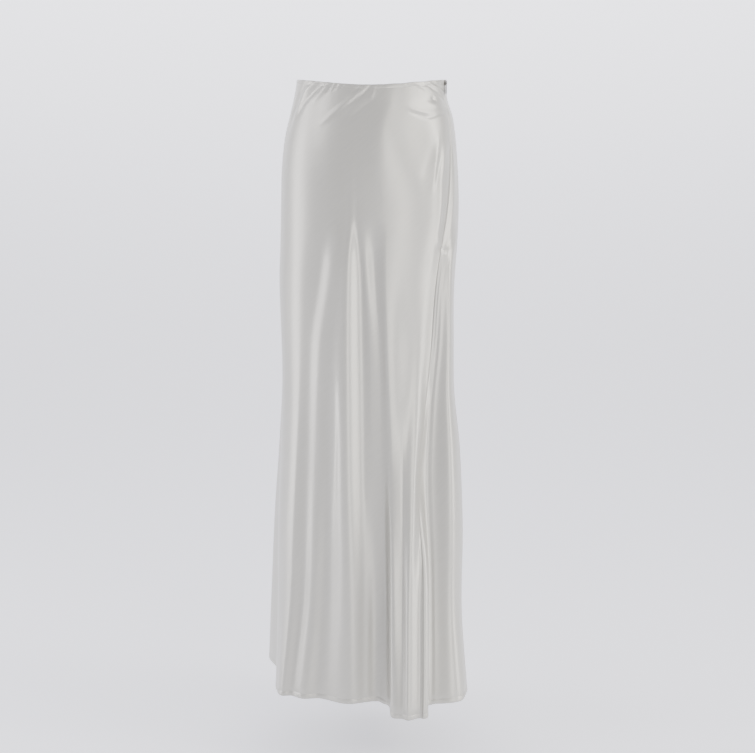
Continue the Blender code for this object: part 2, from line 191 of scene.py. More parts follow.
# The fold lines, from the seam at the wearer's right round the front to the zip's seam: name,
# bearings at the drops of levels, millimetres out of the plain section there, and how many
# millimetres lower the hem hangs
levels = (0.0, 0.21, 0.30, 0.42, 0.62, 0.82, 1.003)
frontLines = (
    ("back flute, right", (-84, -96, -101, -108, -113, -117, -121), (0, 0, 1, 3, 12, 20, 27), -6),
    ("side valley", (-72, -79, -82, -86, -91, -93, -88), (0, 0, 0, -1, -3, -7, -9), -3),
    ("side fold", (-60, -64, -65, -66, -67, -66, -62), (0, 0, 0, 1, 1, 1, 9), 0),
    ("hip fold", (-50, -53, -55, -55, -55, -54, -53.5), (0, 0, 0.5, 1.5, 3, 5, 18), 0),
    ("hip fold valley", (-41, -36, -39.5, -46, -47, -47.5, -49), (0, 0, -1, 0, -2.5, -6, 6), 0),
    ("thigh fold", (-33, -25, -26, -33.5, -38.5, -40.5, -42), (0, 0, 7.5, 5.5, 0.5, -1, 9), 0),
    ("thigh valley", (-25, -20, -21.5, -28.5, -31.5, -32.5, -34), (0, 0, 8.5, 5.5, -3, -9, -4), 0),
    ("middle fold", (-18, -15, -17, -18, -17, -14.5, -13), (0, 1, 9.5, 10.5, 11.5, 12, 15), 0),
    ("middle valley", (-10, -10, -7, -5.5, -4, -3, -3), (0, 0, -4, -6.5, -6, -2, 5), 0),
    ("small fold", (0, -6.5, -4, 0, 2.5, 5, 4), (0, 0, -2.5, -4, -5.5, -7, 0), 0),
    ("hollow beside the flute", (12, 2, 4, 7.5, 8.5, 10, 9), (0, 0, -6.5, -5, -5, -6.5, 9), 2),
    ("flute, near edge", (26, 14, 12, 13, 16, 14, 12), (0, 0, 0, 2, 5, 27, 52), 12),
    ("foot of the seam fold", (45, 38, 28, 33, 23.5, 18.5, 15), (0, 0, -1, -5, 6, 26, 54), 12),
    ("seam fold", (62, 53, 44.5, 40.5, 29.5, 21.5, 17), (0, 1.5, -1.5, -4, 9.5, 36, 64), 12),
    ("seam fold valley", (74, 60, 53.5, 50, 37.5, 28.5, 23), (0, -1, -2.5, -6, -3, 30, 57), 12),
)
backLines = (
    ("flute, far edge", (82, 65.5, 55.5, 52, 40.5, 30.5, 24.5), (0, -1, -0.5, -4, -9, 34, 62), 12),
    ("flute foot", (88, 71, 57, 53.5, 45, 43, 34.5), (0, 0.5, 2.5, -1, -12, -2, 18), 6),
    ("side panel, front", (92, 75, 59, 55.5, 49, 45.5, 37.5), (0, 0.5, 6, 4.5, -6.5, 2.5, 22), 4),
    ("flat side panel", (98, 82, 62, 59.5, 57, 54, 48), (0, 0, 9.5, 14.5, 16, 20.5, 40), 2),
    ("front corner", (105, 90, 71, 68, 66, 63, 57), (0, 0, 3.5, 10, 12, 17.5, 31.5), -4),
    ("left side valley", (114, 100, 92, 88, 87, 86, 82), (0, 0, 0, 0, -1, -3, -6), -2),
    ("left side flute", (123, 112, 110, 109, 107, 106, 105), (0, 0, 1, 2, 4, 2, 1), 0),
    ("left back valley", (133, 125, 124, 123, 122, 121, 120), (0, 0, 0, -1, -4, -8, -12), 0),
    ("left back flute", (144, 139, 138, 138, 137, 136, 136), (0, 0, 1, 3, 9, 16, 24), 0),
    ("back valley, left", (155, 153, 152, 152, 152, 151, 151), (0, 0, 0, -1, -5, -9, -13), 0),
    ("back flute, left", (168, 167, 167, 167, 167, 167, 166), (0, 0, 1, 3, 8, 15, 22), 0),
    ("back valley, middle", (182, 182, 181, 181, 181, 181, 180), (0, 0, -1, -2, -6, -10, -15), 0),
    ("back flute, middle", (197, 196, 195, 195, 194, 194, 194), (0, 0, 1, 3, 10, 18, 26), 0),
    ("back valley, right", (215, 210, 209, 207, 206, 206, 206), (0, 0, 0, -1, -5, -9, -14), 0),
    ("seam flute", (238, 229, 226, 222, 219, 219, 218), (0, 0, 1, 2, 7, 13, 20), -2),
    ("seam flute valley", (262, 249, 244, 238, 232, 229, 227), (0, 0, 0, -1, -3, -6, -8), -4),
)
lines = frontLines + backLines
rightSeam = -0.5  # halfway down the side of a fold, in lines from the first one
leftSeam = len(frontLines) - 0.5

# Creases, puckers and small folds: the bearings and drops of the points that each runs
# through, how far it spreads in millimetres on the side of lower bearing and on the other, and
# its height in millimetres, below 0 for a trough
creases = (
    # Puckers below the turned waist edge, at the wearer's right
    (((-52, 0.006), (-60, 0.015), (-66, 0.026)), 3, 3.5, 1.2),
    (((-45, 0.006), (-54, 0.021), (-62, 0.037), (-66, 0.056)), 6, 5.5, -2.6),
    (((-64, 0.010), (-71, 0.030), (-74, 0.052), (-75, 0.075)), 5, 6, -1.6),
    (((-40, 0.006), (-45, 0.020), (-50, 0.034)), 4, 5, 1.2),
    (((-35, 0.008), (-40, 0.022)), 2.4, 2.6, -1),
    (((-30, 0.007), (-35, 0.019)), 2.2, 2.6, -0.9),
    (((-24, 0.007), (-28, 0.015)), 2, 2.5, -0.5),
    # and in the middle, where long ones run down to the hip
    (((-6, 0.007), (-10, 0.014), (-16, 0.022)), 2.2, 2.4, -1.2),
    (((-3, 0.010), (-13, 0.024), (-22, 0.038), (-32, 0.054), (-41, 0.070)), 3.8, 4.2, 1.3),
    (((-5, 0.021), (-16, 0.037), (-25, 0.053)), 3.6, 4.2, -1.5),
    (((2, 0.009), (-3, 0.018), (-9, 0.030)), 2.4, 2.8, -1),
    (((4, 0.013), (2, 0.024), (0, 0.034)), 2.6, 3, 1),
    (((2, 0.034), (-9, 0.049), (-19, 0.064)), 4, 5.5, -1.4),
    (((13, 0.007), (12, 0.013)), 2, 2.4, -0.6),
    (((19, 0.010), (17, 0.030), (15, 0.048), (12, 0.066), (10, 0.084)), 14, 12, 1.5),
    (((33, 0.006), (36, 0.012)), 2, 2.2, -0.4),
    # Puckers that the zip's top pulls up
    (((49, 0.006), (57, 0.013), (66, 0.023), (73, 0.034)), 2.4, 2.2, -1.4),
    (((54, 0.006), (62, 0.011), (70, 0.018), (75, 0.026)), 2, 2, 1.2),
    (((58, 0.006), (66, 0.011), (74, 0.018)), 1.9, 2, -1.5),
    (((63, 0.006), (70, 0.009), (76, 0.013)), 1.7, 1.8, 1),
    (((67, 0.005), (74, 0.008)), 1.6, 1.7, -1.2),
    (((41, 0.007), (48, 0.013), (53, 0.020)), 2.2, 2.4, 0.6),
    (((57, 0.030), (60, 0.033)), 3.2, 3.2, -1.7),
    (((50, 0.038), (58, 0.041), (64, 0.040)), 3.5, 3.5, 0.9),
    # The crease that rises from the hip to the zip
    (((34, 0.047), (43, 0.052), (52, 0.055)), 3.4, 3.4, 1),
    (((35, 0.0515), (43, 0.0565), (51, 0.0600), (56, 0.0585)), 2.6, 2.6, -1.2),
    (((51, 0.0600), (61, 0.0550), (70, 0.0520), (76, 0.0515)), 2.2, 2.2, -1.4),
    # The hip, drawn towards the zip
    (((57, 0.092), (54, 0.110), (50, 0.144), (47, 0.175)), 4.5, 4.5, 1.4),
    (((51, 0.104), (46, 0.132), (41, 0.160)), 7, 7, -1.1),
    (((58, 0.116), (54, 0.140), (51, 0.166)), 3.4, 3.4, -1),
    (((63, 0.105), (59, 0.132), (55, 0.160), (54, 0.196), (53, 0.230), (52, 0.258)), 6, 5, 1.2),
    (((69, 0.104), (66.5, 0.150), (63, 0.200), (59.5, 0.240), (58, 0.258)), 4.5, 5, -2),
    (((74, 0.110), (72, 0.150), (68.5, 0.200), (65.5, 0.236), (64, 0.254)), 5, 5, 1.5),
    (((79, 0.120), (77, 0.170), (73, 0.225)), 6, 6, -0.7),
    (((52.5, 0.250), (54, 0.262)), 5, 5, 1.2),
    (((55, 0.2665), (58, 0.2705), (62, 0.2735)), 3.4, 4, -2),
    (((49, 0.282), (48, 0.300)), 7, 7, 0.5),
    (((64, 0.300), (64, 0.330), (63, 0.380)), 3, 3, 0.8),
    # The belly turns into a flatter hip at the wearer's left
    (((10, 0.035), (9, 0.075), (8, 0.115), (8, 0.150)), 26, 30, 3.5),
    (((42, 0.045), (40, 0.080), (38, 0.120), (36, 0.155)), 30, 26, -3),
    # Soft lines across the belly and down the thighs
    (((-47, 0.124), (-16, 0.121), (19, 0.122)), 5.0, 5.0, -0.25),
    (((-22, 0.090), (-4, 0.086), (14, 0.093)), 6.0, 6.0, -0.3),
    (((24, 0.560), (22, 0.670), (20, 0.765), (18, 0.850)), 2.2, 2.4, -0.7),
    (((41, 0.530), (37.5, 0.594), (33.5, 0.665), (30.5, 0.700)), 5, 4, 1),
    (((35.5, 0.690), (31.5, 0.750), (29.5, 0.800)), 3.5, 3.5, -1.2),
    (((-25.5, 0.480), (-25.5, 0.550), (-26, 0.620), (-26.5, 0.680)), 5, 5, -0.9),
    (((-68, 0.330), (-70, 0.440), (-71, 0.520)), 6.0, 6.0, 0.6),
    (((-78, 0.600), (-90, 0.760), (-96, 0.900)), 5.0, 6.0, 0.7),
    # The back: puckers below the waist edge, and folds that the seat draws
    (((-100, 0.006), (-96, 0.018), (-90, 0.034)), 3.0, 3.4, -0.8),
    (((-112, 0.006), (-109, 0.016)), 2.4, 2.6, -0.6),
    (((-131, 0.006), (-127, 0.020), (-121, 0.037)), 3.2, 3.6, 0.7),
    (((-146, 0.006), (-143, 0.014)), 2.2, 2.6, -0.5),
    (((-163, 0.006), (-158, 0.021), (-150, 0.042), (-141, 0.061)), 3.6, 4.4, -0.9),
    (((-176, 0.006), (-174, 0.015)), 2.2, 2.4, -0.5),
    (((165, 0.006), (168, 0.018), (175, 0.036)), 3.0, 3.4, 0.7),
    (((148, 0.006), (151, 0.014)), 2.4, 2.4, -0.6),
    (((131, 0.006), (136, 0.021), (145, 0.044)), 3.4, 4.0, -0.8),
    (((112, 0.006), (116, 0.016), (122, 0.027)), 2.6, 2.8, 0.6),
    (((99, 0.006), (95, 0.013), (88, 0.024)), 2.2, 2.4, -0.9),
    (((92, 0.006), (88, 0.011), (83, 0.018)), 2.0, 2.2, 0.7),
    (((88, 0.005), (84, 0.008)), 1.8, 1.8, -0.7),
    (((104, 0.052), (95, 0.054), (86, 0.049)), 2.6, 2.8, -0.7),
    (((106, 0.110), (101, 0.150), (96, 0.190)), 6.0, 7.0, 0.8),
    (((-140, 0.170), (-160, 0.192), (178, 0.196), (158, 0.180)), 9.0, 9.0, -0.9),
    (((-118, 0.140), (-126, 0.190), (-131, 0.240)), 8.0, 9.0, 0.9),
    (((120, 0.150), (130, 0.215), (134, 0.260)), 8.0, 9.0, -0.8),
)


def linear(hexColour):
    channels = [int(hexColour[i:i + 2], 16) / 255 for i in (1, 3, 5)]
    return [c / 12.92 if c <= 0.04045 else ((c + 0.055) / 1.055) ** 2.4 for c in channels]


def smoothCurve(places, values, at):
    # A cubic through the values that doesn't run past them
    places, values = np.asarray(places, float), np.asarray(values, float)
    slope = np.gradient(values, places)
    rises = np.diff(values) / np.diff(places)
    least = 3 * np.minimum(abs(rises[:-1]), abs(rises[1:]))
    turning = rises[:-1] * rises[1:] <= 0
    slope[1:-1] = np.where(turning, 0, np.clip(slope[1:-1], -least, least))
    at = np.clip(at, places[0], places[-1])
    i = np.clip(np.searchsorted(places, at, side="right") - 1, 0, len(places) - 2)
    step = places[i + 1] - places[i]
    t = (at - places[i]) / step
    rise = (2 * t**3 - 3 * t**2 + 1) * values[i] + (3 * t**2 - 2 * t**3) * values[i + 1]
    return rise + step * ((t**3 - 2 * t**2 + t) * slope[i] + (t**3 - t**2) * slope[i + 1])


def plainPoint(drop, bearing):
    drops = [row[0] for row in sections]
    right, left, front, back, n = (
        smoothCurve(drops, [row[k] for row in sections], drop) for k in range(1, 6)
    )
    across, ahead = np.sin(bearing), np.cos(bearing)
    half = np.where(across > 0, left, right)
    deep = np.where(ahead > 0, front, back)
    radius = ((np.abs(across) / half) ** n + (np.abs(ahead) / deep) ** n) ** (-1 / n)
    return np.stack((radius * across, -radius * ahead), -1)


def lineTracks(shares):
    # Each fold line's places, directions round the skirt and drops at shares of the way down
    probe = 0.01
    places, alongs, outs, drops = [], [], [], []
    for k in range(-2, len(lines) + 3):
        bearings, out, lower = lines[k % len(lines)][1:]
        waist = math.cos(math.radians(bearings[0]))
        dip = (skirt["frontDip"] if waist > 0 else skirt["backDip"]) * waist**2
        drop = dip + shares * (skirt["length"] + lower / 1000 - dip)
        turns = 360 * (k // len(lines))
        bearing = np.radians(smoothCurve(levels, bearings, drop) + turns)
        plain = plainPoint(drop, bearing)
        far = np.linalg.norm(plain, axis=-1)
        outs.append(smoothCurve(levels, out, drop) / 1000)
        places.append(plain * (1 + outs[-1] / far)[..., None])
        along = plainPoint(drop, bearing + probe) - plainPoint(drop, bearing - probe)
        alongs.append(along / np.linalg.norm(along, axis=-1, keepdims=True))
        drops.append(drop)
    places, alongs, drops = np.array(places), np.array(alongs), np.array(drops)
    rises = np.diff(outs, axis=0) / np.linalg.norm(np.diff(places, axis=0), axis=-1)
    # The cloth leans on a fold's side, and is level on its ridge and in its valley
    both = rises[:-1] * rises[1:]
    lean = np.where(both > 0, 2 * both / (rises[:-1] + rises[1:] + 1e-9 * (both <= 0)), 0)
    outward = np.stack((alongs[..., 1], -alongs[..., 0]), -1)
    alongs = alongs[1:-1] + lean[..., None] * outward[1:-1]
    return places[1:-1], alongs, drops[1:-1]


def clothPoints(shares, around):
    # The outer face: shares is one value a ring, around is rings by columns
    places, alongs, drops = lineTracks(shares)
    index = np.floor(around).astype(int)
    t = (around - index)[..., None]
    ring = np.arange(len(shares))[:, None]
    start, end = places[index + 1, ring], places[index + 2, ring]
    pull = skirt["fullness"] * np.linalg.norm(end - start, axis=-1, keepdims=True)
    ease = 3 * t**2 - 2 * t**3
    flat = (1 - ease) * start + ease * end
    flat += pull * (t**3 - 2 * t**2 + t) * alongs[index + 1, ring]
    flat += pull * (t**3 - t**2) * alongs[index + 2, ring]
    ease = ease[..., 0]
    drop = (1 - ease) * drops[index + 1, ring] + ease * drops[index + 2, ring]
    return np.concatenate((flat, -drop[..., None]), -1)


def clothNormals(shares, around):
    step = 0.002
    along = clothPoints(shares, around + step) - clothPoints(shares, around - step)
    low, high = np.maximum(shares - step, 0), np.minimum(shares + step, 1)
    down = clothPoints(high, around) - clothPoints(low, around)
    normals = np.cross(along, -down)
    return normals / np.linalg.norm(normals, axis=-1, keepdims=True)


def seamSpeeds(shares, seam):
    # Metres of cloth that one line's step round the skirt covers beside a seam, ring by ring
    probe = 0.01
    here = np.full((len(shares), 1), float(seam))
    ahead = clothPoints(shares, here + probe) - clothPoints(shares, here)
    return np.linalg.norm(ahead, axis=-1) / probe


def addNode(tree, kind, settings=(), values=(), feeds=()):
    node = tree.nodes.new("ShaderNode" + kind)
    for name, value in dict(settings).items():
        setattr(node, name, value)
    for name, value in dict(values).items():
        node.inputs[name].default_value = value
    for name, source in dict(feeds).items():
        tree.links.new(source, node.inputs[name])
    return node


def newMaterial(name, shader):
    made = bpy.data.materials.new(name)
    made.use_nodes = True
    principled = made.node_tree.nodes["Principled BSDF"]
    for key, value in shader.items():
        principled.inputs[key].default_value = value
    return made, made.node_tree, principled


def addSurface(tree, shader, look, tone, height, strength=0.5):
    # A colour between the look's two tones, and its relief as a bump
    colour = addNode(tree, "Mix", {"data_type": "RGBA"}, feeds={"Factor": tone})
    colour.inputs["A"].default_value = (*linear(look["dark"]), 1)
    colour.inputs["B"].default_value = (*linear(look["light"]), 1)
    bump = addNode(tree, "Bump", values={"Strength": strength, "Distance": look["relief"]},
                   feeds={"Height": height})
    tree.links.new(colour.outputs["Result"], shader.inputs["Base Color"])
    tree.links.new(bump.outputs["Normal"], shader.inputs["Normal"])


waveBands = 0.1 * math.pi  # a wave texture's period at scale 1

# Satin of fine polyester filament: long floats on the face give it a broad soft gloss
satinLook = {
    "light": "#b4b2ab",
    "dark": "#aba9a1",
    "metal": 0.42,  # the filaments mirror light as a soft metal would
    "roughness": 0.36,
    "threads": 0.0009,  # a float and its tie, drawn several times too coarse
    "slub": 0.0035,
    "relief": 0.00004,
}


def makeSatin():
    look = satinLook
    made, tree, shader = newMaterial("woven satin", {
        "Roughness": look["roughness"], "Metallic": look["metal"],
        "Sheen Weight": 0.08, "Sheen Roughness": 0.4,
    })
    cloth = addNode(tree, "UVMap", {"uv_map": "cloth"})
    biasCut = addNode(tree, "Mapping", values={"Rotation": (0, 0, math.radians(45))},
                      feeds={"Vector": cloth.outputs["UV"]})
    warp = addNode(tree, "TexWave", {"bands_direction": "X"},
                   {"Scale": waveBands / look["threads"], "Distortion": 0.6, "Detail": 1.0},
                   {"Vector": biasCut.outputs["Vector"]})
    drawnOut = 1 / look["slub"], 0.12 / look["slub"], 1
    stretched = addNode(tree, "Mapping", values={"Scale": drawnOut},
                        feeds={"Vector": biasCut.outputs["Vector"]})
    slub = addNode(tree, "TexNoise", values={"Scale": 1.0, "Detail": 3.0},
                   feeds={"Vector": stretched.outputs["Vector"]})
    relief = addNode(tree, "Math", {"operation": "MULTIPLY_ADD"}, {1: 0.4},
                     {0: warp.outputs["Fac"], 2: slub.outputs["Fac"]})
    addSurface(tree, shader, look, slub.outputs["Fac"], relief.outputs["Value"])
    return made


finishes = {
    # Spun polyester: dull, with a faint fuzz along its edges
    "polyester thread": {
        "light": "#c6c5c0", "dark": "#b3b2ad", "grain": 0.0006, "relief": 0.00003,
        "shader": {"Roughness": 0.6, "Sheen Weight": 0.3},
    },
    # Drawn nylon: milky, so that light goes a little way in, and smooth
    "nylon coil": {
        "light": "#d8d7d2", "dark": "#c9c8c3", "grain": 0.0015, "relief": 0.00001,
        "shader": {"Roughness": 0.35, "Subsurface Weight": 0.15, "Subsurface Scale": 0.001},
    },
    # Nickel plate over a zinc casting: it mirrors softly, and its skin is slightly uneven
    "plated zinc": {
        "light": "#8f8e8a", "dark": "#777571", "grain": 0.0012, "relief": 0.00002,
        "shader": {"Roughness": 0.28, "Metallic": 1.0},
    },
}

# Knitted polyester tape: matt, with fine ribs along it
tapeLook = {
    "light": "#cfcec9",
    "dark": "#bdbcb7",
    "rib": 0.0009,
    "stitch": 0.0006,
    "relief": 0.00012,
}


def makeFinish(name):
    look = finishes[name]
    made, tree, shader = newMaterial(name, look["shader"])
    place = addNode(tree, "TexCoord")
    grain = addNode(tree, "TexNoise", values={"Scale": 1 / look["grain"], "Detail": 2.0},
                    feeds={"Vector": place.outputs["Object"]})
    addSurface(tree, shader, look, grain.outputs["Fac"], grain.outputs["Fac"])
    return made


def makeTapeCloth():
    look = tapeLook
    made, tree, shader = newMaterial("knitted zip tape", {"Roughness": 0.75, "Sheen Weight": 0.25})
    cloth = addNode(tree, "UVMap", {"uv_map": "cloth"})
    rib = addNode(tree, "TexWave", {"bands_direction": "X"}, {"Scale": waveBands / look["rib"]},
                  {"Vector": cloth.outputs["UV"]})
    stitch = addNode(tree, "TexWave", {"bands_direction": "Y"},
                     {"Scale": waveBands / look["stitch"]},
                     {"Vector": cloth.outputs["UV"]})
    knit = addNode(tree, "Math", {"operation": "MULTIPLY_ADD"}, {1: 0.4},
                   {0: stitch.outputs["Fac"], 2: rib.outputs["Fac"]})
    addSurface(tree, shader, look, rib.outputs["Fac"], knit.outputs["Value"], 0.7)
    return made


def ringDrops():
    turn, hem, length = skirt["waistTurn"], skirt["hemTurn"], skirt["length"]
    beside = skirt["ringsAtTurn"]
    top = [*skirt["waistRings"], turn - beside, turn, turn + beside]
    foot = [length - hem - beside, length - hem, length - hem + beside]
    foot += [length - high for high in skirt["hemRings"]]
    starts = [max(start, top[-1]) for start, _ in skirt["rings"]] + [foot[0]]
    between = []
    for k, (start, step) in enumerate(skirt["rings"]):
        count = round((starts[k + 1] - starts[k]) / step)
        between += list(np.linspace(starts[k], starts[k + 1], count, endpoint=False))
    return np.array(top[:-1] + between + foot)


def edgeRelief(drops):
    # How far the turned edges stand out: proud, with a groove where they are stitched
    fromHem = skirt["length"] - drops
    groove, spread = skirt["turnGroove"]
    proud = np.zeros(len(drops))
    for depth, turn in ((drops, skirt["waistTurn"]), (fromHem, skirt["hemTurn"])):
        inside = depth < turn
        swell = np.sqrt(np.clip(np.sin(np.pi * np.clip(depth / turn, 0, 1) ** 0.7), 0, 1))
        proud += np.where(inside, skirt["turnedProud"] * swell, 0)
        proud -= groove * np.exp(-((depth - turn) / spread) ** 2)
    return proud


def creaseRelief(points):
    # How far creases lift the cloth at points of its surface, in metres
    bearings = np.degrees(np.arctan2(points[..., 0], -points[..., 1]))
    radius, drops = np.hypot(points[..., 0], points[..., 1]), -points[..., 2]
    relief = np.zeros(drops.shape)
    for path, before, after, height in creases:
        nearest = np.full(drops.shape, np.inf)
        side, ends = np.zeros(drops.shape), np.zeros(drops.shape)
        lengths = [math.hypot((b[0] - a[0]) * 0.0022, b[1] - a[1]) for a, b in zip(path, path[1:])]
        gone = 0
        for (start, low), (end, high), length in zip(path, path[1:], lengths):
            turn = (end - start + 180) % 360 - 180
            x = np.radians((bearings - start + 180) % 360 - 180) * radius
            y = drops - low
            dx, dy = np.radians(turn) * radius, high - low
            t = np.clip((x * dx + y * dy) / (dx**2 + dy**2), 0, 1)
            far = np.hypot(x - t * dx, y - t * dy)
            closer = far < nearest
            nearest = np.where(closer, far, nearest)
            side = np.where(closer, x * dy - y * dx, side)
            ends = np.where(closer, (gone + t * length) / sum(lengths), ends)
            gone += length
        spread = np.where(side < 0, before, after) / 1000
        taper = np.sin(np.pi * (0.08 + 0.84 * ends)) ** 0.8
        relief += height / 1000 * taper * np.exp(-(nearest / spread) ** 2)
    return relief


def ropingRelief(drops, bearings, across):
    # The rolled hem twists where its bias stretches: strongly on the front, faintly elsewhere
    depth = np.clip((skirt["length"] - drops) / skirt["hemTurn"], 0, 1)[:, None]
    amount = roping["least"]
    for bearing, spread, height in roping["strong"]:
        amount = amount + height * np.exp(-((bearings - bearing) / spread) ** 2)
    uneven = 1 + 0.5 * np.sin(across * 61) * np.sin(across * 23)
    twist = np.sin(2 * np.pi * (across / roping["twist"] + 0.9 * depth) + 1.5 * np.sin(across * 37))
    return amount * uneven * twist * np.sin(np.pi * depth)


def columnPlaces(firstSeam, lastSeam):
    # Places round the skirt of a panel's columns, without its two seam edges
    places = []
    for gap in range(math.floor(firstSeam), math.ceil(lastSeam)):
        finer = [fine for low, high, fine in skirt["fineGaps"] if low <= gap < high]
        count = finer[0] if finer else skirt["columnsInAGap"]
        places += [gap + k / count for k in range(count)]
    low, high = firstSeam + skirt["seamMargin"], lastSeam - skirt["seamMargin"]
    return np.array([at for at in places if low < at < high])


def makeSheet(name, points, material, flat, thickness=None):
    # A sheet of cloth from its points, ring by ring, and where each lies on the flat cloth
    tall, wide = points.shape[0] - 1, points.shape[1] - 1
    sheet = bmesh.new()
    bmesh.ops.create_grid(sheet, x_segments=wide, y_segments=tall, size=0.5)
    uvs = sheet.loops.layers.uv.new("cloth")
    weights = sheet.verts.layers.deform.verify()
    rings = {}
    for vert in sheet.verts:
        ring, column = round((0.5 - vert.co.y) * tall), round((vert.co.x + 0.5) * wide)
        rings[vert] = ring, column
        vert.co = points[ring, column]
        vert[weights][0] = 1.0 if thickness is None else thickness[ring]
    for face in sheet.faces:
        for loop in face.loops:
            ring, column = rings[loop.vert]
            loop[uvs].uv = flat[ring, column]
    mesh = bpy.data.meshes.new(name)
    sheet.to_mesh(mesh)
    sheet.free()
    mesh.shade_smooth()
    piece = addPiece(name, mesh, material)
    piece.vertex_groups.new(name="thickness")
    return piece


def addPiece(name, mesh, material):
    mesh.materials.append(material)
    piece = bpy.data.objects.new(name, mesh)
    bpy.context.scene.collection.objects.link(piece)
    return piece


def addWall(piece, thickness):
    wall = piece.modifiers.new("wall", "SOLIDIFY")
    wall.thickness = thickness
    wall.offset = -1
    wall.use_even_offset = True
    return wall


def makePanel(name, firstSeam, lastSeam, material):
    drops = ringDrops()
    shares = drops / skirt["length"]
    inner = columnPlaces(firstSeam, lastSeam)
    gap = skirt["seamGap"] / 2
    mouth = zipper["mouth"] * np.clip(1 - drops / zipper["opens"], 0, 1)[:, None]
    atStart, atEnd = (
        gap + mouth * ((seam - leftSeam) % len(lines) == 0) for seam in (firstSeam, lastSeam)
    )
    first = firstSeam + atStart / seamSpeeds(shares, firstSeam)
    last = lastSeam - atEnd / seamSpeeds(shares, lastSeam)
    middle = np.tile(inner, (len(shares), 1))
    around = np.concatenate((first, middle, last), 1)
    points = clothPoints(shares, around)
    normals = clothNormals(shares, around)
    steps = np.linalg.norm(np.diff(points, axis=1), axis=-1)
    across = np.concatenate((np.zeros((len(shares), 1)), np.cumsum(steps, 1)), 1)
    fromSeam = np.minimum(across, across[:, -1:] - across)
    bearings = np.degrees(np.arctan2(points[..., 0], -points[..., 1]))
    relief = edgeRelief(drops)[:, None] + creaseRelief(points)
    groove, spread = skirt["seamGroove"]
    relief += ropingRelief(drops, bearings, across) - groove * np.exp(-(fromSeam / spread) ** 2)
    points = points + relief[..., None] * normals
    flat = np.stack((across - across[:, -1:] / 2, np.tile(-drops[:, None], across.shape[1])), -1)
    hemTop = skirt["length"] - skirt["hemTurn"]
    turned = (drops < skirt["waistTurn"] + 1e-5) | (drops > hemTop - 1e-5)
    thickness = np.where(turned, 1.0, skirt["cloth"] / skirt["turnedCloth"])
    panel = makeSheet(name, points, material, flat, thickness)
    wall = addWall(panel, skirt["turnedCloth"])
    wall.vertex_group = "thickness"
    hem, waist = skirt["length"] - stitches["fromHem"], stitches["fromWaist"]
    face, lining = stitches["proud"], -skirt["turnedCloth"] - 2 * stitches["proud"]
    threads = []
    for drop, out in ((hem, face), (hem, lining), (waist, lining)):
        threads += stitchPaths(points, normals, drops, drop, out)
    return panel, threads


def stitchPaths(points, normals, drops, drop, out):
    # Threads in a row at one drop of a panel, that dip into the cloth at their ends
    look = stitches
    ring = np.searchsorted(drops, drop) - 1
    share = (drop - drops[ring]) / (drops[ring + 1] - drops[ring])
    row = (1 - share) * points[ring] + share * points[ring + 1]
    outward = (1 - share) * normals[ring] + share * normals[ring + 1]
    along = np.concatenate(([0], np.cumsum(np.linalg.norm(np.diff(row, axis=0), axis=1))))
    dip = -look["dip"] * math.copysign(1, out)
    lifts = out + np.array((dip, 0, 0, dip))
    paths = []
    for k in range(1, int(along[-1] / look["pitch"])):
        places = k * look["pitch"] + np.array(look["bends"]) * look["length"]
        middle, side = (
            np.stack([np.interp(places, along, values[:, axis]) for axis in range(3)], -1)
            for values in (row, outward)
        )
        paths.append(middle + lifts[:, None] * side)
    return paths


def makeWires(name, paths, radius, material):
    data = bpy.data.curves.new(name, "CURVE")
    data.dimensions = "3D"
    data.bevel_depth = radius
    data.bevel_resolution = 1
    data.use_fill_caps = True
    for path in paths:
        spline = data.splines.new("POLY")
        spline.points.add(len(path) - 1)
        spline.points.foreach_set("co", np.column_stack((path, np.ones(len(path)))).ravel())
    return addPiece(name, data, material)


def besideZip(shares, distances):
    # Places round the skirt at these distances from the zip's seam, along the cloth
    probe, steps = 0.01, 8
    around = np.full(np.broadcast_shapes((len(shares), 1), np.shape(distances)), float(leftSeam))
    for _ in range(steps):
        ahead = clothPoints(shares, around + probe) - clothPoints(shares, around)
        around = around + distances / steps * probe / np.linalg.norm(ahead, axis=-1)
    return around


def insideCloth(drops, distances, deep):
    # Points behind the cloth's outer face, beside the zip
    shares = drops / skirt["length"]
    around = besideZip(shares, distances)
    points = clothPoints(shares, around)
    lift = creaseRelief(points) - deep
    return points + lift[..., None] * clothNormals(shares, around)


def makeTape(name, side, material):
    look = zipper
    drops = np.linspace(look["tapeTop"], look["end"], look["tapeRings"])
    near, far = look["tapeEdges"]
    foot, fade = look["sliderFoot"]
    atSlider = np.clip((foot - drops) / fade, 0, 1)
    near = near + (look["tapeEdgeAtSlider"] - near) * atSlider
    across = np.linspace(0, 1, look["tapeColumns"])
    distances = near[:, None] + (far - near[:, None]) * across
    if side < 0:
        distances = -distances[:, ::-1]
    points = insideCloth(drops, distances, look["tapeDeep"])
    flat = np.stack((distances, np.tile(-drops[:, None], len(across))), -1)
    tape = makeSheet(name, points, material, flat)
    addWall(tape, look["tapeThick"])
    return tape


def makeCoils(material):
    look = zipper
    top, foot = look["coilTop"] + look["wire"], look["end"] - look["wire"]
    steps = np.arange(round((foot - top) / look["pitch"] * look["turnPoints"]))
    halfWide, halfDeep = look["coilHalf"]
    paths = []
    for side in (-1, 1):
        turn = 2 * np.pi * (steps / look["turnPoints"] + side / 4)
        drops = top + steps * look["pitch"] / look["turnPoints"]
        distances = side * (look["coilAside"] + halfWide * np.cos(turn))
        deep = look["coilDeep"] + halfDeep * np.sin(turn)
        paths.append(insideCloth(drops, distances[:, None], deep[:, None])[:, 0])
    return makeWires("zip_coils", paths, look["wire"], material)


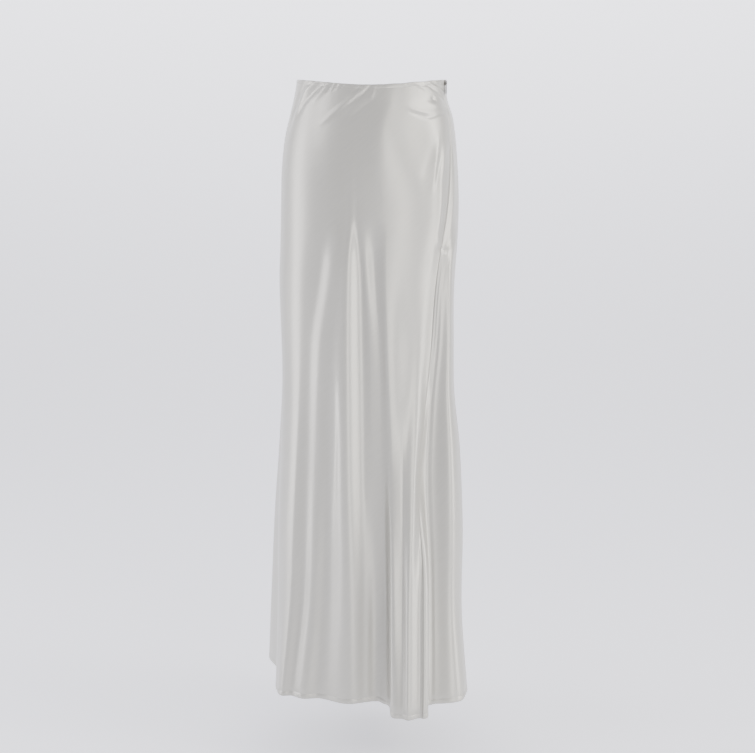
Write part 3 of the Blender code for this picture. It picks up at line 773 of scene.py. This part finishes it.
def seamFrame(drop, out):
    # A frame on the zip: X round the skirt, Y up the zip and Z out of the cloth
    step = 0.002
    share = drop / skirt["length"]
    shares = np.array((share - step, share, share + step))
    here = np.full((3, 1), float(leftSeam))
    above, place, below = (Vector(point) for point in clothPoints(shares, here)[:, 0])
    outward = Vector(clothNormals(shares, here)[1, 0])
    up = above - below
    up = (up - up.dot(outward) * outward).normalized()
    frame = Matrix.Identity(4)
    for column, axis in enumerate((up.cross(outward), up, outward, place + out * outward)):
        frame.col[column].xyz = axis
    return frame


def rounded(corners, steps=5):
    # A closed outline from corners, each with how far its rounding reaches, in millimetres
    outline = []
    for k, (x, y, reach) in enumerate(corners):
        corner = Vector((x, y))
        before = (Vector(corners[k - 1][:2]) - corner).normalized() * reach
        after = (Vector(corners[(k + 1) % len(corners)][:2]) - corner).normalized() * reach
        for step in range(steps + 1):
            t = step / steps
            point = corner + (1 - t) ** 2 * before + t**2 * after
            outline.append(point / 1000)
    return outline


def addPlate(into, outlines, thick, rounding, place):
    # A plate with rounded edges: its outline turns left, and those of its holes turn right
    data = bpy.data.curves.new("plate", "CURVE")
    data.dimensions = "2D"
    data.fill_mode = "BOTH"
    data.extrude = thick / 2 - rounding
    data.bevel_depth = rounding
    data.bevel_resolution = 2
    data.offset = -rounding
    for outline in outlines:
        spline = data.splines.new("POLY")
        spline.points.add(len(outline) - 1)
        spline.use_cyclic_u = True
        for point, (x, y) in zip(spline.points, outline):
            point.co = (x, y, 0, 1)
    shape = bpy.data.objects.new("plate", data)
    bpy.context.scene.collection.objects.link(shape)
    shape = shape.evaluated_get(bpy.context.evaluated_depsgraph_get())
    mesh = bpy.data.meshes.new_from_object(shape)
    mesh.transform(place)
    into.from_mesh(mesh)
    bpy.data.meshes.remove(mesh)
    bpy.data.curves.remove(data)


def makeCasting(name, made, material):
    bmesh.ops.remove_doubles(made, verts=made.verts, dist=1e-6)
    bmesh.ops.recalc_face_normals(made, faces=made.faces)
    mesh = bpy.data.meshes.new(name)
    made.to_mesh(mesh)
    made.free()
    mesh.shade_smooth()
    return addPiece(name, mesh, material)


def makeSlider(material):
    look = zipper
    frame = seamFrame(look["slider"], 0)
    made = bmesh.new()
    high = look["plateClear"] + look["plate"]
    outer = rounded(((1.7, -4.4, 1.5), (2.3, 2.4, 0.8), (2.0, 4.4, 1.1), (-2.0, 4.4, 1.1),
                     (-2.3, 2.4, 0.8), (-1.7, -4.4, 1.5)))
    outerMiddle = Matrix.Translation((0, 0, high - look["plate"] / 2))
    addPlate(made, [outer], look["plate"], 0.00045, frame @ outerMiddle)
    inner = rounded(((2.3, -4.6, 1.2), (3.1, 1.2, 1.8), (3.1, 4.6, 1.4), (0.5, 4.0, 0.4),
                     (-0.5, 4.0, 0.4), (-3.1, 4.6, 1.4), (-3.1, 1.2, 1.8), (-2.3, -4.6, 1.2)))
    innerMiddle = Matrix.Translation((0, 0, -look["innerDeep"] - look["innerPlate"] / 2))
    addPlate(made, [inner], look["innerPlate"], 0.0005, frame @ innerMiddle)
    neck = rounded(((0.5, -2.6, 0.4), (0.5, 2.6, 0.4), (-0.5, 2.6, 0.4), (-0.5, -2.6, 0.4)))
    reach = look["innerDeep"] + look["plateClear"]
    neckMiddle = Matrix.Translation((0, 0, look["plateClear"] - reach / 2))
    addPlate(made, [neck], reach + look["neckJoins"], 0.0002, frame @ neckMiddle)
    # The bow stands up from the outer plate, flat along the zip
    bow = rounded(((-3.2, -1, 0.5), (3.2, -1, 0.5), (3.1, 2.2, 1.9), (-3.1, 2.2, 1.9)), 8)
    hole = rounded(((-1.9, 0, 0.3), (-1.9, 1.4, 0.9), (1.9, 1.4, 0.9), (1.9, 0, 0.3)), 6)
    standing = Matrix(((0, 0, 1, 0), (1, 0, 0, 0), (0, 1, 0, high), (0, 0, 0, 1)))
    addPlate(made, [bow, hole], look["bow"], 0.00025, frame @ standing)
    return makeCasting("zip_slider_casting", made, material)


def makeTab(material):
    look = zipper
    frame = seamFrame(look["slider"], look["pivot"])
    made = bmesh.new()
    outline = rounded(((-2.1, 0.45, 0.7), (-2.1, -4.5, 3), (-3.4, -18.5, 3.38),
                       (3.4, -18.5, 3.38), (2.1, -4.5, 3), (2.1, 0.45, 0.7)), 8)
    window = rounded(((-1, -0.45, 0.3), (1, -0.45, 0.3), (1, -4.05, 0.6), (-1, -4.05, 0.6)))
    addPlate(made, [outline, window], look["tab"], 0.00025, frame)
    # A low rim round the grip
    ovals, points, middle = [], 28, -13.2
    for wide, tall, way in ((2.2, 4.2, 1), (1.6, 3.6, -1)):
        turns = [2 * math.pi * way * k / points for k in range(points)]
        ovals.append([
            Vector((wide * math.cos(t), middle + tall * math.sin(t))) / 1000 for t in turns
        ])
    addPlate(made, ovals, look["tab"] + look["tabRim"], 0.00018, frame)
    return makeCasting("zip_tab_casting", made, material)


def makeStop(material):
    look = zipper
    drop = look["end"] + look["stopBelow"]
    onSeam = clothPoints(np.array([drop / skirt["length"]]), np.array([[leftSeam]]))
    lift = float(creaseRelief(onSeam)[0, 0])
    frame = seamFrame(drop, lift - look["coilDeep"])
    made = bmesh.new()
    plate = rounded(((2.6, -1.7, 0.9), (2.6, 1.7, 0.9), (-2.6, 1.7, 0.9), (-2.6, -1.7, 0.9)))
    addPlate(made, [plate], look["stop"], 0.0005, frame)
    for high in (-0.8, 0.8):
        low, top = high - 0.35, high + 0.35
        ridge = rounded(((1.9, low, 0.3), (1.9, top, 0.3), (-1.9, top, 0.3), (-1.9, low, 0.3)))
        addPlate(made, [ridge], look["stopRidge"], 0.00018, frame)
    return makeCasting("zip_stop_clip", made, material)


def makeCamera():
    data = bpy.data.cameras.new("camera")
    data.lens = camera["lens"]
    eye = bpy.data.objects.new("camera", data)
    eye.location = camera["place"]
    eye.rotation_euler = (math.radians(90 - camera["pitch"]), 0, 0)
    bpy.context.scene.collection.objects.link(eye)
    bpy.context.scene.camera = eye


def makeStudio():
    look = studio
    floor, steps = -look["floorDrop"], 16
    sweep = bmesh.new()
    bendStart = look["wallPlace"] - look["bend"]
    profile = [(look["floorFront"], floor)]
    for k in range(steps + 1):
        angle = math.pi / 2 * k / steps
        profile.append((bendStart + look["bend"] * math.sin(angle),
                        floor + look["bend"] * (1 - math.cos(angle))))
    profile.append((look["wallPlace"], look["wallHigh"]))
    verts = [sweep.verts.new((-look["room"] / 2, y, z)) for y, z in profile]
    edges = [sweep.edges.new(pair) for pair in zip(verts, verts[1:])]
    side = bmesh.ops.extrude_edge_only(sweep, edges=edges)
    moved = [part for part in side["geom"] if isinstance(part, bmesh.types.BMVert)]
    bmesh.ops.translate(sweep, verts=moved, vec=(look["room"], 0, 0))
    bmesh.ops.recalc_face_normals(sweep, faces=sweep.faces)
    mesh = bpy.data.meshes.new("floor")
    sweep.to_mesh(mesh)
    sweep.free()
    mesh.shade_smooth()
    paint, tree, shader = newMaterial("matte studio paint", {
        "Base Color": (*linear(look["floorColour"]), 1), "Roughness": 0.9,
        "Specular IOR Level": 0.2, "Emission Color": (*linear(look["floorColour"]), 1),
    })
    place = addNode(tree, "TexCoord")
    height = addNode(tree, "SeparateXYZ", feeds={"Vector": place.outputs["Object"]})
    glow = addNode(tree, "MapRange", {"interpolation_type": "SMOOTHSTEP"},
                   {"From Min": floor, "From Max": look["glowTop"],
                    "To Min": look["floorGlow"], "To Max": look["wallGlow"]},
                   {"Value": height.outputs["Z"]})
    tree.links.new(glow.outputs["Result"], shader.inputs["Emission Strength"])
    mesh.materials.append(paint)
    stage = bpy.data.objects.new("floor", mesh)
    bpy.context.scene.collection.objects.link(stage)

    world = bpy.data.worlds.new("studio air")
    world.use_nodes = True
    air = world.node_tree.nodes["Background"]
    air.inputs["Color"].default_value = (*linear(look["ambient"]), 1)
    air.inputs["Strength"].default_value = look["ambientStrength"]
    bpy.context.scene.world = world

    target = Vector(look["lightsAim"])
    for name, bearing, far, high, wide, long, watts, colour in look["lights"]:
        data = bpy.data.lights.new(name, "AREA")
        data.shape = "RECTANGLE"
        data.size, data.size_y = wide, long
        data.energy = watts
        data.color = linear(colour)
        lamp = bpy.data.objects.new(name, data)
        angle = math.radians(bearing)
        lamp.location = (far * math.sin(angle), -far * math.cos(angle), high)
        aim = target - lamp.location
        lamp.rotation_euler = aim.to_track_quat("-Z", "Y").to_euler()
        bpy.context.scene.collection.objects.link(lamp)


makeCamera()
makeStudio()
print("camera and studio ready")

satin, thread = makeSatin(), makeFinish("polyester thread")
front, back = (rightSeam, leftSeam), (leftSeam, rightSeam + len(lines))
for name, node, seams, flat, area in (
    ("skirt_front", "front_panel", front, (0.54, 1.03), 0.44),
    ("skirt_back", "back_panel", back, (0.87, 1.03), 0.56),
):
    panel, threads = makePanel(name, *seams, satin)
    sewing = makeWires(name + "_stitches", threads, stitches["thread"], thread)
    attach(panel, "skirt")
    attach(sewing, "skirt")
    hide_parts(node)
print("panels ready")

tapeCloth = makeTapeCloth()
for name, node, side in (("tape_front", "zip_tape_front", -1), ("tape_back", "zip_tape_back", 1)):
    tape = makeTape(name, side, tapeCloth)
    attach(tape, "skirt")
    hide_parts(node)
metal = makeFinish("plated zinc")
for piece, node, body, slot in (
    (makeCoils(makeFinish("nylon coil")), "zip_coil", "skirt", "zip_coil"),
    (makeSlider(metal), "zip_slider", "skirt", "zip_metal"),
    (makeTab(metal), "zip_pull_tab", "pull_tab", "zip_metal"),
    (makeStop(metal), "zip_stop", "skirt", "zip_metal"),
):
    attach(piece, body)
    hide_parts(node)
print("zip ready")
